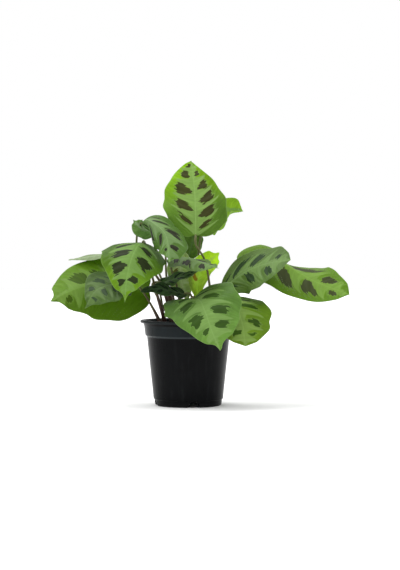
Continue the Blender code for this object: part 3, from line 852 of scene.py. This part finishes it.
class Wire:
    """A number socket of a material. Arithmetic on it adds Math nodes."""

    def __init__(self, finish, socket):
        self.finish = finish
        self.socket = socket

    def math(self, operation, *values):
        inputs = dict(enumerate(values))
        return self.finish.node("ShaderNodeMath", {"operation": operation}, inputs)

    def __add__(self, other):
        return self.math("ADD", self, other)

    def __radd__(self, other):
        return self.math("ADD", other, self)

    def __sub__(self, other):
        return self.math("SUBTRACT", self, other)

    def __rsub__(self, other):
        return self.math("SUBTRACT", other, self)

    def __mul__(self, other):
        return self.math("MULTIPLY", self, other)

    def __rmul__(self, other):
        return self.math("MULTIPLY", other, self)

    def __abs__(self):
        return self.math("ABSOLUTE", self)

    def sine(self):
        return self.math("SINE", self)

    def at_least(self, other):
        return self.math("MAXIMUM", self, other)


class Finish:
    """One material under construction: its Principled shader and the nodes that feed it."""

    def __init__(self, name, **constants):
        self.material = bpy.data.materials.new(name)
        self.material.use_nodes = True
        self.tree = self.material.node_tree
        self.shader = self.tree.nodes["Principled BSDF"]
        self.set(**constants)

    def node(self, kind, settings=None, inputs=None, output=0):
        """A new node with its settings, then the values or links of its sockets; gives one output."""
        made = self.tree.nodes.new(kind)
        for key, value in (settings or {}).items():
            setattr(made, key, value)
        for key, value in (inputs or {}).items():
            self.feed(made.inputs[key], value)
        return Wire(self, made.outputs[output])

    def feed(self, socket, value):
        """A link from a wire, or a constant, into a socket; a colour's alpha is 1."""
        if isinstance(value, Wire):
            self.tree.links.new(value.socket, socket)
        elif isinstance(value, tuple) and socket.type == "RGBA":
            socket.default_value = (*value, 1)[:4]
        else:
            socket.default_value = value

    def set(self, **sockets):
        """Values or links of the Principled shader's sockets, their names written with underscores."""
        for name, value in sockets.items():
            self.feed(self.shader.inputs[name.replace("_", " ")], value)

    def field(self, name):
        """A number kept at the piece's points."""
        return self.node("ShaderNodeAttribute", {"attribute_name": name}, output="Fac")

    def place(self):
        """The point itself, in metres in the model's frame."""
        return self.node("ShaderNodeTexCoord", output="Object")

    def cloud(self, size, detail=2.0, where=None):
        """Noise about zero, from roughly -0.5 to 0.5, with patches of the given size in millimetres."""
        where = where or self.place()
        scale = {"Vector": where, "Scale": 1000 / size, "Detail": detail}
        return self.node("ShaderNodeTexNoise", inputs=scale) - 0.5

    def step(self, value, low, high):
        """0 below low, 1 above high and a smooth S between them."""
        span = {"Value": value, "From Min": low, "From Max": high}
        return self.node("ShaderNodeMapRange", {"interpolation_type": "SMOOTHSTEP"}, span)

    def mix(self, share, first, second):
        """A colour between two colours."""
        return self.node("ShaderNodeMix", {"data_type": "RGBA"}, {0: share, 6: first, 7: second}, output=2)

    def dim(self, colour, by):
        """A colour made lighter or darker."""
        return self.node("ShaderNodeVectorMath", {"operation": "SCALE"}, {"Vector": colour, "Scale": by})

    def bump(self, height, depth):
        """Relief from a height between 0 and 1 that stands for depth millimetres."""
        sockets = {"Height": height, "Distance": depth * 0.001, "Strength": 1.0}
        self.set(Normal=self.node("ShaderNodeBump", inputs=sockets))

    def let_light_through(self, colour, share):
        """Part of the surface's light comes from behind it."""
        behind = self.node("ShaderNodeBsdfTranslucent", inputs={"Color": colour})
        front = Wire(self, self.shader.outputs[0])
        both = self.node("ShaderNodeMixShader", inputs={0: share, 1: front, 2: behind})
        output = self.tree.nodes["Material Output"]
        self.tree.links.new(both.socket, output.inputs["Surface"])


def blade_finish(leaf, seed):
    """Skin of a blade. Blotches and feather follow the fields kept at its points, their edges frayed by noise
    drawn out along the side veins, each blade in its own slice of it; fine side veins run as ribs and pale
    lines; blotches have a pale rim; the midrib is bright, and a painted highlight runs along the margin; the
    underside is silvery and duller."""
    skin = Finish("blade " + leaf.name, IOR=1.42, Specular_IOR_Level=0.1)
    along, across, reach = skin.field("along"), skin.field("across"), skin.field("reach")
    vein, under = skin.field("vein"), skin.field("under")

    stretched = {0: vein * 0.001, 1: reach * 0.00022, 2: 0.01 * seed}
    ribbed = skin.node("ShaderNodeCombineXYZ", inputs=stretched)
    fray = skin.cloud(1.6, 3.0, ribbed)
    teeth = skin.cloud(3.2, 1.0, ribbed)
    streak = skin.cloud(2.6, 2.0, ribbed)
    patch = skin.cloud(14.0, 2.0)
    ribs = (vein * (2 * math.pi / RIB_PITCH) + fray * 3.0).sine()
    lines = skin.step((vein * (2 * math.pi / LINE_PITCH) + fray * 2.0).sine(), 0.8, 1.0)

    tip = skin.step(along + patch * 0.3, 0.25, 0.95)
    green = skin.mix(tip, leaf.green[0], leaf.green[1])
    # Painted light and shade: the leaf's sides make each half lighter where light falls on it and darker
    # where it lies in shade.
    side = skin.step(across, -0.5, 0.5)
    painted_half_light = leaf.sides[0] + (leaf.sides[1] - leaf.sides[0]) * side
    green = skin.dim(green, painted_half_light * (1 + 0.45 * patch + 0.5 * streak + 0.05 * ribs + 0.14 * lines))

    feather = skin.step(skin.field("feather") + fray * 3.0 + teeth * 5.0 + patch * 2.0, -0.8, 0.6)
    pale = skin.dim(leaf.pale, 1 + 0.4 * streak + 0.25 * patch + 0.12 * lines)
    upper = skin.mix(feather * 0.9, green, pale)
    outline = skin.field("mark") + fray * 3.0 + teeth * 7.5
    rim = skin.step(outline, -1.7, -0.5)
    upper = skin.mix(rim * 0.5, upper, leaf.pale)
    blotch = skin.step(outline, -0.3, 0.3)
    upper = skin.mix(blotch * 0.95, upper, skin.dim(leaf.mark, 1 + 0.9 * streak + 0.5 * patch))

    midrib = 1 - skin.step(abs(reach), 0.25, 0.95)
    bright = tuple(min(1.0, value * 1.25 + 0.02) for value in leaf.pale)
    upper = skin.mix(midrib * (0.75 - 0.45 * along), upper, bright)
    # Painted highlight: a bright band along the margin stands in for light caught on the blade's edge.
    margin = 1 - skin.step(skin.field("edge") + fray * 0.3, 0.3, 0.9)
    upper = skin.mix(margin * 0.55, upper, bright)

    below = skin.dim(leaf.silver, 1 + 0.25 * patch + 0.2 * streak + 0.07 * ribs)
    below = skin.mix(blotch * 0.3, below, leaf.mark)
    below = skin.mix((1 - skin.step(abs(reach), 0.6, 1.4)) * 0.6, below, (0.27, 0.34, 0.13))
    skin.set(Base_Color=skin.mix(under, upper, below))

    skin.set(Roughness=0.42 + 0.1 * patch + 0.08 * blotch + 0.14 * under)
    skin.bump(0.5 + 0.04 * ribs + 0.5 * fray + 0.25 * skin.cloud(0.7), 0.16)
    skin.let_light_through(leaf.glow, leaf.through * (1 - 0.9 * blotch))
    return skin.material


def stalk_finish(leaf):
    """Skin of a stalk, from the sheath's colour to the colour under the blade, with long fine streaks."""
    skin = Finish("stalk " + leaf.name, IOR=1.42)
    along = skin.field("along")
    streak = skin.cloud(1.0, 2.0, skin.node("ShaderNodeMapping", inputs={0: skin.place(), 3: (1, 1, 0.08)}))
    blush = skin.cloud(9.0)
    colour = skin.mix(skin.step(along + blush * 0.5, 0.15, 0.85), leaf.stalk_low, leaf.stalk_high)
    skin.set(Base_Color=skin.dim(colour, 1 + 0.9 * streak + 0.5 * blush))
    skin.set(Roughness=0.45 + 0.15 * blush)
    skin.bump(0.5 + streak, 0.15)
    return skin.material


def pot_finish():
    """Black moulded plastic: satin, painted greyer on the collar as sheen, with a painted highlight along the
    step below it and a painted shadow line under the lip; faint upright streaks in roughness and relief,
    painted a little lighter as sheen, fine scuffs and a little dust on rim and foot. Heights in metres."""
    skin = Finish("black pot plastic", IOR=1.45, Specular_IOR_Level=0.07)
    place = skin.place()
    height = skin.node("ShaderNodeSeparateXYZ", inputs={0: place}, output="Z")
    flow_and_sheen = skin.cloud(6.0, 3.0, skin.node("ShaderNodeMapping", inputs={0: place, 3: (1, 1, 0.06)}))
    scuff = skin.cloud(0.8, 4.0)
    smear = skin.cloud(22.0, 3.0)

    # Painted sheen: the collar is painted greyer than the body for the light it reflects.
    collar = skin.step(height, 0.0745, 0.0775)
    # Painted highlight: a pale line along the step under the collar.
    ledge_highlight = skin.step(height, 0.074, 0.0752) * (1 - skin.step(height, 0.0757, 0.0772))
    # Painted shadow: a near-black line just under the lip.
    lip_shadow = skin.step(height, 0.0868, 0.088) * (1 - skin.step(height, 0.0896, 0.0901))
    black = skin.mix(collar, (0.0022, 0.0025, 0.003), (0.01, 0.0135, 0.015))
    black = skin.mix(ledge_highlight, skin.dim(black, 1 + 1.2 * smear + 0.6 * scuff), (0.035, 0.042, 0.044))
    # Partly painted sheen: the upright streaks vary roughness and relief, and here are also painted lighter
    # to stand in for soft upright reflections.
    black = skin.mix(skin.step(flow_and_sheen + 0.5 * smear, 0.0, 0.35) * 0.5, black, (0.013, 0.014, 0.015))
    black = skin.mix(lip_shadow, black, (0.001, 0.0012, 0.0014))

    rim = skin.step(height + 0.003 * smear, 0.084, 0.0925)
    foot = 1 - skin.step(height + 0.006 * smear, 0.0, 0.006)
    dust = (rim * 0.7 + foot * 0.5) * (0.5 + 1.4 * smear + 0.8 * scuff).at_least(0)
    skin.set(Base_Color=skin.mix(dust * 0.18, black, (0.1, 0.1, 0.09)))
    skin.set(Roughness=0.3 + 0.16 * flow_and_sheen + 0.12 * smear + 0.08 * scuff + 0.2 * dust)
    skin.bump(0.5 + 0.6 * flow_and_sheen + 0.1 * scuff, 0.12)
    return skin.material


def soil_finish():
    """Moist peat: near black crumbs with brown fibres between them."""
    skin = Finish("potting soil", IOR=1.35)
    cells = {"Vector": skin.place(), "Scale": 520.0}
    crumb = skin.node("ShaderNodeTexVoronoi", inputs=cells, output="Distance")
    fleck = skin.cloud(1.3, 4.0)
    damp = skin.cloud(13.0, 2.0)
    brown = skin.mix(skin.step(fleck + 0.4 * damp, -0.15, 0.25), (0.012, 0.008, 0.005), (0.07, 0.042, 0.022))
    skin.set(Base_Color=skin.dim(brown, 1.25 - 0.7 * crumb))
    skin.set(Roughness=0.88 - 0.3 * skin.step(damp, 0.0, 0.3))
    skin.bump(0.6 * (1 - crumb) + fleck, 1.4)
    return skin.material


def crumb_finish():
    """Dry bark and peat: patches of dark and light brown with a pitted skin."""
    skin = Finish("bark and peat", IOR=1.4)
    fleck, patch = skin.cloud(0.7, 3.0), skin.cloud(5.0)
    brown = skin.mix(skin.step(fleck * 0.6 + patch, -0.2, 0.25), (0.018, 0.011, 0.007), (0.1, 0.055, 0.028))
    skin.set(Base_Color=brown, Roughness=0.85 + 0.2 * fleck)
    skin.bump(0.5 + fleck, 0.5)
    return skin.material


def floor_finish():
    """Plain matt white, very faintly clouded."""
    skin = Finish("studio floor", Roughness=0.9, Specular_IOR_Level=0.1)
    skin.set(Base_Color=skin.mix(0.5 + 0.2 * skin.cloud(60.0), (0.93, 0.93, 0.93), (0.9, 0.9, 0.9)))
    return skin.material


def add_floor():
    """A wide level floor, one face."""
    corners = np.array([(-4000, -4000, 0), (4000, -4000, 0), (4000, 4000, 0), (-4000, 4000, 0)])
    floor = add_mesh("floor", metres(corners), [(0, 1, 2, 3)])
    floor.data.materials.append(floor_finish())


def turn_towards(thing, place, aim):
    """Put a lamp or camera at place with its axis through aim."""
    thing.location = metres(place)
    direction = unit(np.array(aim, float) - np.array(place, float))
    pitch = math.acos(-direction[2])
    heading = math.atan2(-direction[0], direction[1])
    thing.rotation_euler = (pitch, 0, heading)


def add_sun():
    """Even light from high on the left, its shadows softened over a wide angle."""
    lamp = bpy.data.lights.new("high_left", "SUN")
    lamp.angle = math.radians(SUN_SOFTNESS)
    lamp.energy = SUN_STRENGTH
    lamp_object = bpy.data.objects.new("high_left", lamp)
    bpy.context.collection.objects.link(lamp_object)
    turn_towards(lamp_object, SUN_PLACE, (0, 0, 0))


def add_room_light():
    """White all round for the eye. What lights the plant is brightest above and a little dimmer in front than
    behind and at the sides."""
    world = bpy.data.worlds.new("studio")
    world.use_nodes = True
    bpy.context.scene.world = world
    tree = world.node_tree
    tree.nodes.clear()

    def node(kind, **settings):
        made = tree.nodes.new(kind)
        for key, value in settings.items():
            setattr(made, key, value)
        return made

    def math_node(operation, first, second):
        made = node("ShaderNodeMath", operation=operation)
        for socket, value in zip(made.inputs, (first, second)):
            if isinstance(value, float):
                socket.default_value = value
            else:
                tree.links.new(value, socket)
        return made.outputs[0]

    def ramp(value, low, high, start, end):
        made = node("ShaderNodeMapRange", interpolation_type="SMOOTHSTEP")
        tree.links.new(value, made.inputs["Value"])
        for key, number in (("From Min", low), ("From Max", high), ("To Min", start), ("To Max", end)):
            made.inputs[key].default_value = number
        return made.outputs[0]

    split = node("ShaderNodeSeparateXYZ")
    tree.links.new(node("ShaderNodeTexCoord").outputs["Generated"], split.inputs[0])
    level = ramp(split.outputs["Y"], -0.8, 0.1, FRONT_LIGHT, SIDE_LIGHT)
    above = ramp(split.outputs["Z"], 0.25, 0.8, 0.0, 1.0)
    lit = math_node("ADD", level, math_node("MULTIPLY", above, TOP_LIGHT))
    pick = node("ShaderNodeMix", data_type="FLOAT")
    tree.links.new(node("ShaderNodeLightPath").outputs["Is Camera Ray"], pick.inputs[0])
    tree.links.new(lit, pick.inputs[2])
    pick.inputs[3].default_value = 1.0
    glow = node("ShaderNodeBackground")
    glow.inputs["Color"].default_value = (1, 1, 1, 1)
    tree.links.new(pick.outputs[0], glow.inputs["Strength"])
    tree.links.new(glow.outputs[0], node("ShaderNodeOutputWorld").inputs["Surface"])


def add_camera():
    """Long lens, 2 m in front and a little above the middle of the plant."""
    camera = bpy.data.cameras.new("camera")
    camera.lens = CAMERA_LENS
    camera.sensor_width = 36
    camera_object = bpy.data.objects.new("camera", camera)
    bpy.context.collection.objects.link(camera_object)
    turn_towards(camera_object, CAMERA_PLACE, CAMERA_AIM)
    bpy.context.scene.camera = camera_object


def dress(piece, material, slot, *nodes):
    """Give a piece its finish, hang it on the root body and hide the model's parts that it takes the place
    of.
    """
    piece.data.materials.append(material)
    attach(piece, "root")
    if nodes:
        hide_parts(*nodes)


def main():
    """Camera, floor and light, then pot and soil, then each blade with its stalk."""
    bpy.context.scene.view_settings.view_transform = "Standard"
    add_camera()
    add_floor()
    add_room_light()
    add_sun()

    dress(add_pot(), pot_finish(), "pot", "pot")
    dress(add_soil(), soil_finish(), "soil", "soil")
    dress(add_crumbs(), crumb_finish(), "soil")
    for seed, leaf in enumerate(LEAVES, start=1):
        dress(add_blade(leaf, seed), blade_finish(leaf, seed), "leaf_" + leaf.name, "leaf_" + leaf.name)
        dress(add_stalk(leaf), stalk_finish(leaf), "stalk_" + leaf.name, "stalk_" + leaf.name)


main()
